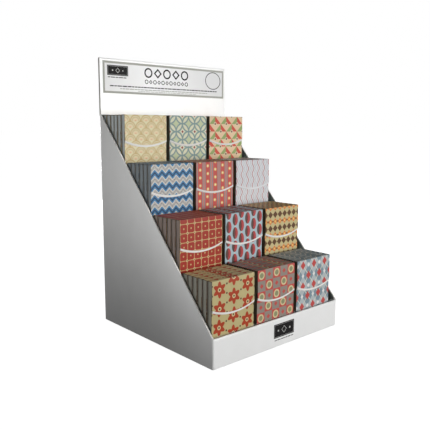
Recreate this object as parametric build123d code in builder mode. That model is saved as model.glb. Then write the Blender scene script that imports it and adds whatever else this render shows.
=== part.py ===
"""A stepped counter display box of folded board, stocked with pocket notepads in four tiers of three stacks.

Units are millimetres. The origin is the centre of the base, +Z is up and the open front faces -Y.
"""

import os

from build123d import *

# Notepads: a folded card cover with a curved flap, round a block of leaves
leaf_width = 74.0
leaf_height = 105.0
block_thickness = 7.4
leaf_top_gap = 0.2
leaf_foot_gap = 2.4
cover_overhang = 1.5
card = 0.8
flap_drop = 41.0
flap_sag = 7.5
flap_gap = 0.2
flap_overlap = 16.0
pad_gap = 0.2
pads_per_stack = 6

# Stock: the clearances round the stacks of notepads and the rise of a tier
tier_count = 4
tier_rise = 71.8
column_names = ("left", "centre", "right")
column_gap = 6.8
left_clearance = 3.3
right_clearance = 9.1
front_clearance = 2.8
stack_back_clearance = 5.0
back_clearance = 0.3

# Corrugated board and its folds
board = 2.0
fold_radius = 1.0
base_chamfer = 1.0
ply_gap = 0.2

# Outer tray
lip_height = 41.0
side_height = 330.0
side_land = 5.0
side_tip_radius = 4.0
header_rise = 89.0
header_foot_clearance = 1.0
seam_width = 0.8
seam_depth = 1.0
tongue_root_width = 150.0
tongue_tip_width = 110.0
tongue_length = 60.0

# Stepped insert
insert_clearance = 0.3
nosing = 0.6
glue_flap_height = 20.0
glue_flap_inset = 6.0

# How far a cut runs past the face that it opens
overrun = 2.0

# Sizes that follow from those above
panel_front = card + flap_gap
block_front = panel_front + card
pad_width = leaf_width + 2 * cover_overhang
pad_height = leaf_height + leaf_top_gap + leaf_foot_gap + 2 * card
pad_thickness = block_front + block_thickness + card
pad_pitch = pad_thickness + pad_gap
stack_depth = pads_per_stack * pad_pitch - pad_gap
tier_going = stack_depth + stack_back_clearance
column_pitch = pad_width + column_gap
columns_width = len(column_names) * column_pitch - column_gap
inner_width = left_clearance + columns_width + right_clearance
tray_width = inner_width + 2 * board
two_plies = 2 * board + ply_gap
stock_depth = (tier_count - 1) * tier_going + stack_depth
inner_depth = board + ply_gap + front_clearance + stock_depth + back_clearance
tray_depth = inner_depth + 2 * board
tray_front = -tray_depth / 2
tray_back = tray_depth / 2
lip_back = tray_front + two_plies
stock_left = left_clearance - inner_width / 2
stock_front = lip_back + front_clearance
back_inside = tray_back - board
first_floor = two_plies + board
stock_top = first_floor + (tier_count - 1) * tier_rise + pad_height
header_top = side_height + header_rise
header_foot = max(side_height, stock_top) + header_foot_clearance
roll_radius = two_plies / 2
corner_radius = fold_radius + board

os.makedirs("parts", exist_ok=True)


def tier_front(tier):
    """The Y of the front faces of a tier's stacks."""
    return stock_front + tier * tier_going


def tier_floor(tier):
    """The Z of the tread that a tier's stacks stand on."""
    return first_floor + tier * tier_rise


# Outer tray: walls and base of one folded sheet, with a rolled front lip and a doubled header
with BuildPart() as outer_tray:
    with BuildSketch():
        RectangleRounded(tray_width, tray_depth, corner_radius)
        Rectangle(inner_width, inner_depth, mode=Mode.SUBTRACT)
    extrude(amount=side_height)

    # The side walls slope from the lip up to the back wall
    with BuildSketch(Plane.YZ) as slope:
        with BuildLine():
            Polyline(
                (tray_front - overrun, lip_height),
                (tray_front, lip_height),
                (tray_back - side_land, side_height),
                (tray_back - side_land, side_height + overrun),
                (tray_front - overrun, side_height + overrun),
                close=True,
            )
        make_face()
        fillet(slope.vertices().sort_by_distance((tray_back, side_height))[0], side_tip_radius)
    extrude(amount=tray_width, both=True, mode=Mode.SUBTRACT)

    # Base of two plies, with a broken edge where it folds up into the walls
    with BuildSketch():
        RectangleRounded(tray_width, tray_depth, corner_radius)
    extrude(amount=two_plies)
    chamfer(outer_tray.faces().sort_by(Axis.Z)[0].outer_wire().edges(), base_chamfer)

    # The front wall rolls over at the lip and comes down inside to the base
    lip_width = inner_width - 2 * ply_gap
    with BuildSketch(Plane.XZ.offset(-tray_front)):
        with Locations((0, lip_height)):
            Rectangle(lip_width, 2 * roll_radius)
    extrude(amount=-board, mode=Mode.SUBTRACT)
    with BuildSketch(Plane.YZ) as lip:
        with Locations((tray_front, board)):
            Rectangle(two_plies, lip_height - board, align=Align.MIN)
        fillet(lip.vertices().group_by(Axis.Y)[-1], roll_radius)
        with Locations((tray_front + board, board)):
            Rectangle(ply_gap, lip_height - 2 * board, align=Align.MIN, mode=Mode.SUBTRACT)
    extrude(amount=lip_width / 2, both=True)

    # The back wall goes on up as the header and folds forward over itself
    with BuildSketch(Plane.YZ) as header:
        with Locations((tray_back, header_top)):
            Rectangle(two_plies, header_top - side_height, align=Align.MAX)
        fillet(header.vertices().group_by(Axis.Y)[-1], roll_radius)
        with Locations((back_inside, header_top - board)):
            Rectangle(ply_gap, header_top - side_height, align=Align.MAX, mode=Mode.SUBTRACT)
        with Locations((back_inside, header_foot)):
            Rectangle(two_plies, header_top - side_height, align=Align.MAX, mode=Mode.SUBTRACT)
    extrude(amount=tray_width / 2, both=True)

    # The outer ply of the base is two flaps, one with a tongue that locks into the other
    with BuildSketch() as seam:
        with BuildLine():
            Polyline(
                (-tray_width / 2, tongue_length / 2),
                (-tongue_root_width / 2, tongue_length / 2),
                (-tongue_tip_width / 2, -tongue_length / 2),
                (tongue_tip_width / 2, -tongue_length / 2),
                (tongue_root_width / 2, tongue_length / 2),
                (tray_width / 2, tongue_length / 2),
            )
        trace(line_width=seam_width)
    extrude(amount=seam_depth, mode=Mode.SUBTRACT)
outer_tray.part.label = "outer_tray"
export_step(outer_tray.part, "parts/outer_tray.step")

# Stepped insert: one sheet folded into treads and risers, with a rear leg and glue flaps at its ends
insert_width = inner_width - 2 * insert_clearance
with BuildPart() as stepped_insert:
    half_board = board / 2
    leg = back_inside - insert_clearance - half_board
    route = [(lip_back + insert_clearance, first_floor - half_board)]
    for tier in range(1, tier_count):
        riser = tier_front(tier) - nosing + half_board
        route.append((riser, tier_floor(tier - 1) - half_board))
        route.append((riser, tier_floor(tier) - half_board))
    route.append((leg, tier_floor(tier_count - 1) - half_board))
    route.append((leg, two_plies))
    with BuildSketch(Plane.YZ):
        with BuildLine():
            FilletPolyline(*route, radius=fold_radius + half_board)
        trace(line_width=board)
    extrude(amount=insert_width / 2, both=True)
    for tier in range(1, tier_count):
        flap_front = tier_front(tier) - nosing + board + glue_flap_inset
        flap_back = tier_front(tier) + tier_going - glue_flap_inset - board
        flap_top = tier_floor(tier) - half_board
        with BuildSketch(Plane.YZ.offset(insert_width / 2)):
            with Locations((flap_front, flap_top)):
                Rectangle(flap_back - flap_front, glue_flap_height, align=(Align.MIN, Align.MAX))
        extrude(amount=-board)
    mirror(about=Plane.YZ)
stepped_insert.part.label = "stepped_insert"
export_step(stepped_insert.part, "parts/stepped_insert.step")

# One notepad's cover: lower front panel, bottom, back, spine and flap of one folded card
with BuildPart() as pad_cover:
    flap_foot = pad_height - flap_drop - flap_sag
    panel_top = pad_height - flap_drop + flap_overlap
    half_card = card / 2
    with BuildSketch(Plane.YZ):
        with BuildLine():
            Polyline(
                (panel_front + half_card, panel_top),
                (panel_front + half_card, half_card),
                (pad_thickness - half_card, half_card),
                (pad_thickness - half_card, pad_height - half_card),
                (half_card, pad_height - half_card),
                (half_card, flap_foot - overrun),
            )
        trace(line_width=card)
    extrude(amount=pad_width)
    with BuildSketch(Plane.XZ):
        with BuildLine():
            ThreePointArc(
                (0, flap_foot + flap_sag),
                (pad_width / 2, flap_foot),
                (pad_width, flap_foot + flap_sag),
            )
            Polyline(
                (pad_width, flap_foot + flap_sag),
                (pad_width, flap_foot - 2 * overrun),
                (0, flap_foot - 2 * overrun),
                (0, flap_foot + flap_sag),
            )
        make_face()
    extrude(amount=-card, mode=Mode.SUBTRACT)

# One notepad's block of leaves, which hangs from the spine against the back of its cover
with BuildPart() as leaf_block:
    with BuildSketch(Plane.XY.offset(card + leaf_foot_gap)):
        with Locations((cover_overhang, block_front)):
            Rectangle(leaf_width, block_thickness, align=Align.MIN)
    extrude(amount=leaf_height)

# Twelve stacks of notepads, each as a node of covers and a node of leaf blocks
for tier in range(tier_count):
    for column, column_name in enumerate(column_names):
        stack_left = stock_left + column * column_pitch
        stack_places = [
            (stack_left, tier_front(tier) + pad * pad_pitch, tier_floor(tier)) for pad in range(pads_per_stack)
        ]
        stack_name = f"tier_{tier + 1}_{column_name}"
        with BuildPart() as covers:
            with Locations(*stack_places):
                add(pad_cover.part)
        covers.part.label = f"covers_{stack_name}"
        export_step(covers.part, f"parts/covers_{stack_name}.step")
        with BuildPart() as leaves:
            with Locations(*stack_places):
                add(leaf_block.part)
        leaves.part.label = f"leaves_{stack_name}"
        export_step(leaves.part, f"parts/leaves_{stack_name}.step")
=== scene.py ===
"""Dresses the stepped counter display box in Blender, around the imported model.

Sizes in the classes are millimetres unless a name says otherwise. Meshes are made in metres, in
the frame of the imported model: the origin is the centre of the base, +Z is up and the open front
faces -Y.
"""

import logging
import math
import random
from dataclasses import dataclass, field
from enum import Enum, auto
from functools import cached_property
from typing import Any, Union

import bpy
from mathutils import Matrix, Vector

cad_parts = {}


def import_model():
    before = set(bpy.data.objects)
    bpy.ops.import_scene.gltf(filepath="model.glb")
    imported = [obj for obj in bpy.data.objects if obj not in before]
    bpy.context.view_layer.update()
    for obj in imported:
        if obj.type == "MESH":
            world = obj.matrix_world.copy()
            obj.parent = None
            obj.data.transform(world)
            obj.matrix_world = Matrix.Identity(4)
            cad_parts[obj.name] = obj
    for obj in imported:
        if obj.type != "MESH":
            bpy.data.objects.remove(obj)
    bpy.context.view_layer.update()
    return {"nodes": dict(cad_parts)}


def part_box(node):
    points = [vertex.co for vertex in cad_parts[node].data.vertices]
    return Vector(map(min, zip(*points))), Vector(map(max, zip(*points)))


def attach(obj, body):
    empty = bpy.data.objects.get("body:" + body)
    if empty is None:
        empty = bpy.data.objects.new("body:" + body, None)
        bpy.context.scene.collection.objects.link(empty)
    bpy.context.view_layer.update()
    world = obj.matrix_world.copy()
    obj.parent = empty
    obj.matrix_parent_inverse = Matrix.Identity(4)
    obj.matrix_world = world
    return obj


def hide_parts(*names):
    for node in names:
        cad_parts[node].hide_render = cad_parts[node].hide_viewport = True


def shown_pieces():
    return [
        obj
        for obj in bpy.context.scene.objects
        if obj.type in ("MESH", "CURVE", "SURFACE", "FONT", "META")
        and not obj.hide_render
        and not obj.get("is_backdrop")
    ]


log = logging.getLogger("display_box")

MM = 0.001
BODY = "root"
PRINT_MAP = "card"
BAKE_MAP = "OFBake"
FULL_TURN = 2 * math.pi

Colour = tuple[int, int, int]
Light = tuple[float, float, float, float]
Place = tuple[float, float, float]
Point = tuple[float, float]
Box = tuple[Point, Point]
Number = Union["Value", float]
Paint = Union[bpy.types.NodeSocket, Light]
Layers = list[tuple[int, "Value"]]


def ink(colour: Colour) -> Light:
    """Turns a colour on a screen into the light that a shader takes, by the sRGB curve.

    Args:
        colour: Red, green and blue from 0 to 255.

    Returns:
        Linear red, green and blue, and a full alpha.
    """
    light = []
    for channel in colour:
        share = channel / 255
        light.append(share / 12.92 if share <= 0.04045 else ((share + 0.055) / 1.055) ** 2.4)
    return (light[0], light[1], light[2], 1.0)


def blend(first: Colour, second: Colour, share: float) -> Colour:
    """Mixes two colours, with a share of the second."""
    red, green, blue = (round(low + (high - low) * share) for low, high in zip(first, second))
    return (red, green, blue)


class Value:
    """A number that varies over a surface: a socket of a tree of nodes, with Python's operators."""

    def __init__(self, graph: "Graph", socket: bpy.types.NodeSocket) -> None:
        """Wraps a socket of a graph."""
        self.graph = graph
        self.socket = socket

    def __add__(self, other: Number) -> "Value":
        """Adds two values."""
        return self.graph.math("ADD", self, other)

    def __radd__(self, other: float) -> "Value":
        """Adds a value to a number."""
        return self.graph.math("ADD", other, self)

    def __sub__(self, other: Number) -> "Value":
        """Takes the other from this."""
        return self.graph.math("SUBTRACT", self, other)

    def __rsub__(self, other: float) -> "Value":
        """Takes this from a number."""
        return self.graph.math("SUBTRACT", other, self)

    def __mul__(self, other: Number) -> "Value":
        """Multiplies two values, which leaves what both of two masks cover."""
        return self.graph.math("MULTIPLY", self, other)

    def __rmul__(self, other: float) -> "Value":
        """Multiplies a number by a value."""
        return self.graph.math("MULTIPLY", other, self)

    def __truediv__(self, other: Number) -> "Value":
        """Divides this by the other."""
        return self.graph.math("DIVIDE", self, other)

    def __rtruediv__(self, other: float) -> "Value":
        """Divides a number by this."""
        return self.graph.math("DIVIDE", other, self)

    def __or__(self, other: Number) -> "Value":
        """Takes the greater of two values, which leaves what either of two masks covers."""
        return self.graph.math("MAXIMUM", self, other)

    def __ror__(self, other: float) -> "Value":
        """Takes the greater of a number and a value."""
        return self.graph.math("MAXIMUM", other, self)

    def __abs__(self) -> "Value":
        """Drops the sign."""
        return self.graph.math("ABSOLUTE", self)

    def sine(self) -> "Value":
        """Gives the sine of an angle in radians."""
        return self.graph.math("SINE", self)

    def reach(self, other: "Value") -> "Value":
        """Gives the distance from the origin of a point with these two coordinates."""
        return self.graph.math("SQRT", self * self + other * other)

    def near(self, pitch: float) -> "Value":
        """Gives the signed distance to the nearest multiple of a pitch."""
        return self.graph.math("WRAP", self, pitch / 2, -pitch / 2)

    def amid(self, pitch: float) -> "Value":
        """Gives the signed distance to the nearest middle between multiples of a pitch."""
        return (self - pitch / 2).near(pitch)

    def count(self, pitch: float) -> "Value":
        """Gives the number of whole pitches below this."""
        return self.graph.math("FLOOR", self / pitch)

    def odd(self, pitch: float) -> "Value":
        """Gives 1 in every other stretch of a pitch, and 0 between."""
        return self.graph.math("FLOORED_MODULO", self.count(pitch), 2.0)

    def under(self, limit: float, soft: float = 0.12) -> "Value":
        """Makes a mask of 1 below a limit, with a soft edge."""
        return self.graph.math("MULTIPLY_ADD", self, -1 / soft, limit / soft + 0.5, clamp=True)

    def over(self, limit: float, soft: float = 0.12) -> "Value":
        """Makes a mask of 1 above a limit, with a soft edge."""
        return self.graph.math("MULTIPLY_ADD", self, 1 / soft, 0.5 - limit / soft, clamp=True)

    def within(self, low: float, high: float, soft: float = 0.12) -> "Value":
        """Makes a mask of 1 between two limits, with soft edges."""
        return self.over(low, soft) * self.under(high, soft)

    def unlike(self, other: "Value") -> "Value":
        """Makes a mask of 1 where two masks differ."""
        return abs(self - other)

    def swing(self, middle: float, width: float) -> "Value":
        """Turns a noise round one half into a value round a middle."""
        return (self - 0.5) * width + middle


class Graph:
    """A tree of nodes in which a finish is written as expressions."""

    def __init__(self, tree: bpy.types.NodeTree) -> None:
        """Takes the tree that the nodes go into."""
        self.tree = tree

    def node(self, kind: str, settings: dict[str, Any], sockets: dict[Any, Any]) -> bpy.types.Node:
        """Adds a node.

        Args:
            kind: The node's type.
            settings: Its settings by name, which are set first.
            sockets: What its inputs take, by name or number: a value, a socket or a constant.

        Returns:
            The node.
        """
        made = self.tree.nodes.new(kind)
        for name, setting in settings.items():
            setattr(made, name, setting)
        for key, source in sockets.items():
            self.feed(made.inputs[key], source)
        return made

    def feed(self, socket: bpy.types.NodeSocket, source: Any) -> None:
        """Links or sets an input.

        Args:
            socket: The input.
            source: A value, a socket or a constant.
        """
        if isinstance(source, Value):
            source = source.socket
        if isinstance(source, bpy.types.NodeSocket):
            self.tree.links.new(source, socket)
        else:
            socket.default_value = source

    def math(self, operation: str, *operands: Number, clamp: bool = False) -> Value:
        """Adds a Math node.

        Args:
            operation: The node's operation.
            operands: Values or numbers, in the order of the node's inputs.
            clamp: True to hold the result between 0 and 1.

        Returns:
            The result.
        """
        settings = {"operation": operation, "use_clamp": clamp}
        made = self.node("ShaderNodeMath", settings, dict(enumerate(operands)))
        return Value(self, made.outputs[0])

    def paint(self, under: Paint, over: Paint, mask: Value) -> bpy.types.NodeSocket:
        """Lays one colour over another where a mask is 1."""
        made = self.node("ShaderNodeMix", {"data_type": "RGBA"}, {0: mask, 6: under, 7: over})
        return made.outputs[2]

    def parts(self, vector: bpy.types.NodeSocket) -> tuple[Value, Value, Value]:
        """Splits a vector into its three coordinates."""
        x, y, z = self.node("ShaderNodeSeparateXYZ", {}, {0: vector}).outputs
        return Value(self, x), Value(self, y), Value(self, z)

    def place(self) -> bpy.types.NodeSocket:
        """Gives the place on the object, in millimetres."""
        sockets = {0: self.node("ShaderNodeTexCoord", {}, {}).outputs["Object"], "Scale": 1 / MM}
        return self.node("ShaderNodeVectorMath", {"operation": "SCALE"}, sockets).outputs[0]

    def noise(self, where: bpy.types.NodeSocket, grain: float, detail: float = 2.0) -> Value:
        """Gives a noise round one half, with spots of a size in millimetres and finer detail."""
        sockets = {"Vector": where, "Scale": 1 / grain, "Detail": detail}
        return Value(self, self.node("ShaderNodeTexNoise", {}, sockets).outputs[0])

    def bump(self, height: Value, strength: float, depth: float) -> bpy.types.NodeSocket:
        """Gives the normal over a height of 0 to 1 that stands for a depth in millimetres."""
        sockets = {"Strength": strength, "Distance": depth * MM, "Height": height}
        return self.node("ShaderNodeBump", {}, sockets).outputs[0]


class Surface(Graph):
    """The graph of a material with one Principled shader."""

    def __init__(self, name: str) -> None:
        """Makes the material.

        Args:
            name: Its name.
        """
        self.material = bpy.data.materials.new(name)
        self.material.use_nodes = True
        super().__init__(self.material.node_tree)
        self.shader = self.tree.nodes["Principled BSDF"]

    def finish(self, **inputs: Any) -> bpy.types.Material:
        """Feeds the shader.

        Args:
            inputs: Sources by the shader's input names, with _ for a space.

        Returns:
            The material.
        """
        for name, source in inputs.items():
            self.feed(self.shader.inputs[name.replace("_", " ")], source)
        return self.material


class Skin:
    """Gathers the points and faces of one mesh, with the finish and the maps of each face."""

    def __init__(self) -> None:
        """Starts with no points."""
        self.points: list[Vector] = []
        self.faces: list[tuple[int, ...]] = []
        self.finishes: list[int] = []
        self.maps: dict[str, list[list[Point]]] = {PRINT_MAP: [], BAKE_MAP: []}

    def point(self, x: float, y: float, z: float) -> int:
        """Adds a point, given in millimetres, and returns its number."""
        self.points.append(Vector((x, y, z)) * MM)
        return len(self.points) - 1

    def face(self, corners: tuple[int, ...], finish: int = 0, **maps: list[Point]) -> None:
        """Adds a face.

        Args:
            corners: Its points, anticlockwise from outside.
            finish: The number of its material.
            maps: Coordinates of the corners by the name of the map, where a map is used.
        """
        self.faces.append(corners)
        self.finishes.append(finish)
        for name, places in self.maps.items():
            places.append(maps.get(name, [(0.0, 0.0)] * len(corners)))

    def slab(self, loop: list[Point], front: float, back: float, finish: int) -> None:
        """Adds a thin plate that faces -Y.

        Args:
            loop: Its outline in X and Z, anticlockwise from the front.
            front: The Y of its face.
            back: The Y of its back.
            finish: The number of its material.
        """
        near = [self.point(x, front, z) for x, z in loop]
        far = [self.point(x, back, z) for x, z in loop]
        self.face(tuple(near), finish)
        self.face(tuple(reversed(far)), finish)
        self.wall(near, far, finish)

    def band(
        self, outside: list[Point], inside: list[Point], front: float, back: float, finish: int
    ) -> None:
        """Adds a thin closed band that faces -Y.

        Args:
            outside: Its outer outline in X and Z, anticlockwise from the front.
            inside: Its inner outline, with as many points.
            front: The Y of its face.
            back: The Y of its back.
            finish: The number of its material.
        """
        outer_near, outer_far, inner_near, inner_far = (
            [self.point(x, y, z) for x, z in loop]
            for loop in (outside, inside)
            for y in (front, back)
        )
        self.wall(outer_near, outer_far, finish)
        self.wall(inner_far, inner_near, finish)
        self.wall(inner_near, outer_near, finish)
        self.wall(outer_far, inner_far, finish)

    def wall(self, first: list[int], second: list[int], finish: int) -> None:
        """Joins two closed loops of points by faces.

        Args:
            first: One loop, anticlockwise seen from its own side.
            second: The other loop, point for point.
            finish: The number of the faces' material.
        """
        for here in range(len(first)):
            there = (here + 1) % len(first)
            self.face((first[here], second[here], second[there], first[there]), finish)

    def make(
        self, name: str, materials: list[bpy.types.Material], sharp_degrees: float = 35.0
    ) -> bpy.types.Object:
        """Makes the object and lets it ride on the box.

        Args:
            name: The piece's name.
            materials: Its materials, in the order of their numbers.
            sharp_degrees: Folds sharper than this stay sharp in the shading.

        Returns:
            The object.
        """
        mesh = bpy.data.meshes.new(name)
        mesh.from_pydata(self.points, [], self.faces)
        for material in materials:
            mesh.materials.append(material)
        mesh.polygons.foreach_set("material_index", self.finishes)
        for map_name, places in self.maps.items():
            flat = [number for corners in places for corner in corners for number in corner]
            if any(flat):
                mesh.uv_layers.new(name=map_name).uv.foreach_set("vector", flat)
        mesh.shade_smooth()
        mesh.set_sharp_from_angle(angle=math.radians(sharp_degrees))
        made = bpy.data.objects.new(name, mesh)
        bpy.context.scene.collection.objects.link(made)
        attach(made, BODY)
        return made


@dataclass(frozen=True)
class Pad:
    """The sizes of one notepad, in its own frame: X across, Y from front to back and Z up."""

    width: float
    height: float
    depth: float
    gap: float = 0.2
    card: float = 0.8
    flap_gap: float = 0.2
    fold_radius: float = 0.6
    panel_top: float = 84.2
    flap_drop: float = 41.0
    flap_sag: float = 7.5
    trim_width: float = 2.4
    overhang: float = 1.5
    leaf_foot: float = 3.2
    leaf_head: float = 1.0

    @property
    def pitch(self) -> float:
        """The distance from one notepad of a stack to the next."""
        return self.depth + self.gap

    @property
    def panel(self) -> float:
        """The Y of the middle of the lower panel's card."""
        return self.card * 1.5 + self.flap_gap

    @property
    def block_front(self) -> float:
        """The Y of the first leaf."""
        return 2 * self.card + self.flap_gap

    @property
    def arc_radius(self) -> float:
        """The radius of the flap's lower edge."""
        half = self.width / 2
        return (half * half + self.flap_sag * self.flap_sag) / (2 * self.flap_sag)

    @property
    def arc_drop(self) -> float:
        """How far below the top the middle of the flap's lower edge is."""
        return self.flap_drop + self.flap_sag

    def flap_edge(self, x: float) -> float:
        """Gives the Z of the flap's lower edge at a place across the notepad."""
        fall = math.sqrt(self.arc_radius**2 - (x - self.width / 2) ** 2) - self.arc_radius
        return self.height - self.arc_drop - fall


@dataclass(frozen=True)
class PlainCard:
    """The unprinted inside or the cut edges of a cover's card."""

    colour: Colour
    speck: Colour

    def make(self, name: str) -> bpy.types.Material:
        """Makes the material.

        Args:
            name: Its name.

        Returns:
            The material.
        """
        surface = Surface(name)
        fibres = surface.noise(surface.place(), grain=0.3, detail=3.0)
        specks = fibres.over(0.55, soft=0.3)
        return surface.finish(
            Base_Color=surface.paint(ink(self.colour), ink(self.speck), specks),
            Roughness=fibres.swing(middle=0.78, width=0.2),
            Normal=surface.bump(fibres, strength=0.25, depth=0.06),
        )


class Motif(Enum):
    """The generic designs that are printed on the covers, by the method that draws them."""

    SCALES = "scales"
    LINKED_RINGS = "linked_rings"
    PINWHEELS = "pinwheels"
    CHEVRONS = "chevrons"
    STRIPES = "stripes"
    WAVES = "waves"
    WINDOWPANE = "windowpane"
    OVALS = "ovals"
    BUNTING = "bunting"
    DAISIES = "daisies"
    CHECKS = "checks"
    ARGYLE = "argyle"


@dataclass(frozen=True)
class Drawing:
    """Draws a design as layers, each the number of an ink and the mask that it fills.

    The place on the card is in millimetres: u from its left edge, and v down from its top fold.
    Above the fold, on the notepad's spine, v is below 0.
    """

    u: Value
    v: Value

    def layers(self, motif: Motif) -> Layers:
        """Gives the layers of a design, in the order in which they are printed."""
        return getattr(self, motif.value)()

    def scales(self) -> Layers:
        """Draws rows of fish scales: thin arcs, one inside the other, with a filled heart.

        Returns:
            The layers.
        """
        pitch, outer_line, inner_line = 19.25, 0.75, 0.6
        row = pitch / 2
        outer_arc, inner_arc, heart, dot = row - 0.7, 0.62 * row, 0.36 * row, 0.13 * row
        x = (self.u + self.v.odd(row) * row).near(pitch)
        y = (self.v.count(row) + 1) * row - self.v
        away = x.reach(y)
        lines = abs(away - outer_arc).under(outer_line) | abs(away - inner_arc).under(inner_line)
        return [(1, away.under(heart)), (0, lines), (2, away.under(dot))]

    def linked_rings(self) -> Layers:
        """Draws linked rings, with their lenses filled and a diamond in every other ring.

        Returns:
            The layers.
        """
        pitch, line, diamond, heart = 25.67, 1.2, 4.8, 2.4
        radius = pitch / 2
        x, y = self.u.near(pitch), self.v.near(pitch)
        first = x.reach(y)
        second = (self.u + radius).near(pitch).reach((self.v + radius).near(pitch))
        lens = first.under(radius) * second.under(radius)
        rings = abs(first - radius).under(line) | abs(second - radius).under(line)
        middle = abs(x) + abs(y)
        return [(1, lens), (0, rings), (2, middle.under(diamond)), (3, middle.under(heart))]

    def pinwheels(self) -> Layers:
        """Draws squares cut in half across, turned so that four make a wheel with a dot.

        Returns:
            The layers.
        """
        side, disc, heart = 12.83, 3.2, 1.7
        turned = self.u.odd(side).unlike(self.v.odd(side))
        half = (self.u.amid(side) * (1 - 2 * turned) + self.v.amid(side)).over(0.0)
        hub = self.u.near(2 * side).reach(self.v.near(2 * side))
        other_hub = self.u.amid(2 * side).reach(self.v.amid(2 * side))
        return [
            (0, half * turned),
            (1, half * (1 - turned)),
            (2, hub.under(disc) | other_hub.under(disc)),
            (3, hub.under(heart) | other_hub.under(heart)),
        ]

    def chevrons(self) -> Layers:
        """Draws zigzag stripes with a dark core, and fine zigzags between.

        Returns:
            The layers.
        """
        pitch, row = 12.83, 18.0
        stripe, core, thread = 4.6, 1.3, 0.6
        fine_line = (1.8, 2.6)
        step = abs(self.u.near(pitch)) + self.v
        wide = abs(step.near(row))
        fine = abs(step.amid(row))
        return [
            (0, wide.under(stripe)),
            (1, wide.under(core)),
            (2, fine.within(*fine_line)),
            (1, fine.under(thread)),
        ]

    def stripes(self) -> Layers:
        """Draws upright stripes with a string of beads down every other one.

        Returns:
            The layers.
        """
        pitch, bead_pitch = 15.4, 12.0
        stripe, line, bead, heart = 4.4, 0.7, 2.5, 1.1
        x = self.u.amid(pitch)
        away = x.reach((self.v + self.u.odd(pitch) * (bead_pitch / 2)).near(bead_pitch))
        return [
            (0, abs(x).over(stripe)),
            (1, abs(self.u.near(pitch)).under(line)),
            (2, away.under(bead)),
            (3, away.under(heart)),
        ]

    def waves(self) -> Layers:
        """Draws upright waving lines, every third one in a second ink.

        Returns:
            The layers.
        """
        length, swing = 19.0, 2.1
        pitch, line = 4.28, 0.36
        warm_pitch, warm_line = 12.83, 0.75
        x = self.u + (self.v * (FULL_TURN / length)).sine() * swing
        return [
            (0, abs(x.near(pitch)).under(line)),
            (1, abs(x.near(warm_pitch)).under(warm_line)),
        ]

    def windowpane(self) -> Layers:
        """Draws a fine grid with diamonds and dots, and upright lines alone on the spine.

        Returns:
            The layers.
        """
        pitch, line, clearing = 12.83, 0.45, 2.9
        diamond, heart, dot, front_edge = 2.5, 1.1, 1.2, 2.0
        x, y = abs(self.u.near(pitch)), abs(self.v.amid(pitch))
        crossing = x + y
        pane = self.u.amid(pitch).reach(self.v.near(pitch))
        front = self.v.over(front_edge)
        grid = x.under(line) | y.under(line) * front
        return [
            (0, grid * (crossing.over(clearing) | (1 - front))),
            (1, crossing.under(diamond) * front),
            (2, crossing.under(heart) * front),
            (0, pane.under(dot) * front),
        ]

    def ovals(self) -> Layers:
        """Draws upright ovals in a half drop, each half in another ink, with beads between.

        Returns:
            The layers.
        """
        pitch, row, bead, parting = 12.83, 20.0, 1.3, -0.4
        oval_width, oval_height, oval_edge = 5.3, 8.8, 0.03
        heart_width, heart_height, heart_edge = 1.2, 4.2, 0.1
        x = self.u.amid(pitch)
        dropped = self.v + self.u.odd(pitch) * (row / 2)
        y = dropped.near(row)
        oval = (x / oval_width).reach(y / oval_height).under(1.0, oval_edge)
        between = x.reach((dropped + row / 2).near(row))
        return [
            (0, oval),
            (1, oval * x.under(parting)),
            (2, between.under(bead)),
            (3, (x / heart_width).reach(y / heart_height).under(1.0, heart_edge)),
        ]

    def bunting(self) -> Layers:
        """Draws rows of triangles and rows of diamonds in turn.

        Returns:
            The layers.
        """
        pitch, row, heart, small, edge = 11.0, 22.0, 0.45, 0.5, 0.04
        flag_width, flag_height = 5.4, 5.6
        diamond_width, diamond_height = 4.6, 5.0
        small_width, small_height = 4.2, 4.6
        x, y = abs(self.u.near(pitch)), abs(self.v.near(row))
        flag = x / flag_width + (row / 2 - y) / flag_height
        diamond = x / diamond_width + y / diamond_height
        between = abs(self.u.amid(pitch)) / small_width + y / small_height
        return [
            (0, flag.under(1.0, edge)),
            (1, diamond.under(1.0, edge)),
            (2, diamond.under(heart, edge)),
            (3, between.under(small, edge)),
        ]

    def daisies(self) -> Layers:
        """Draws six-petalled flowers in a half drop, with small dots between.

        Returns:
            The layers.
        """
        pitch, petal_length, petal_width, edge = 25.67, 11.4, 3.8, 0.05
        heart, dot = 3.0, 1.4
        x = self.u.amid(pitch)
        y = (self.v + self.u.odd(pitch) * (pitch / 2)).amid(pitch)
        flower: Number = 0.0
        for turn in (0.0, math.pi / 3, 2 * math.pi / 3):
            along = x * math.sin(turn) + y * math.cos(turn)
            beside = x * math.cos(turn) - y * math.sin(turn)
            flower = flower | (along / petal_length).reach(beside / petal_width).under(1.0, edge)
        away = x.reach(y)
        between = self.u.near(pitch).reach(self.v.amid(pitch / 2))
        return [(0, flower), (1, away.under(heart)), (2, away.under(dot) | between.under(dot))]

    def checks(self) -> Layers:
        """Draws a check, with a ring and a heart in half of its squares and a diamond in the rest.

        Returns:
            The layers.
        """
        side, ring, heart, diamond = 15.4, 5.9, 3.7, 3.6
        x, y = self.u.amid(side), self.v.amid(side)
        away = x.reach(y)
        other = self.u.odd(side).unlike(self.v.odd(side))
        front = self.v.over(0.0)
        return [
            (0, other),
            (1, (1 - other) * away.under(ring)),
            (2, (1 - other) * away.under(heart)),
            (3, other * (abs(x) + abs(y)).under(diamond) * front),
        ]

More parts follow.
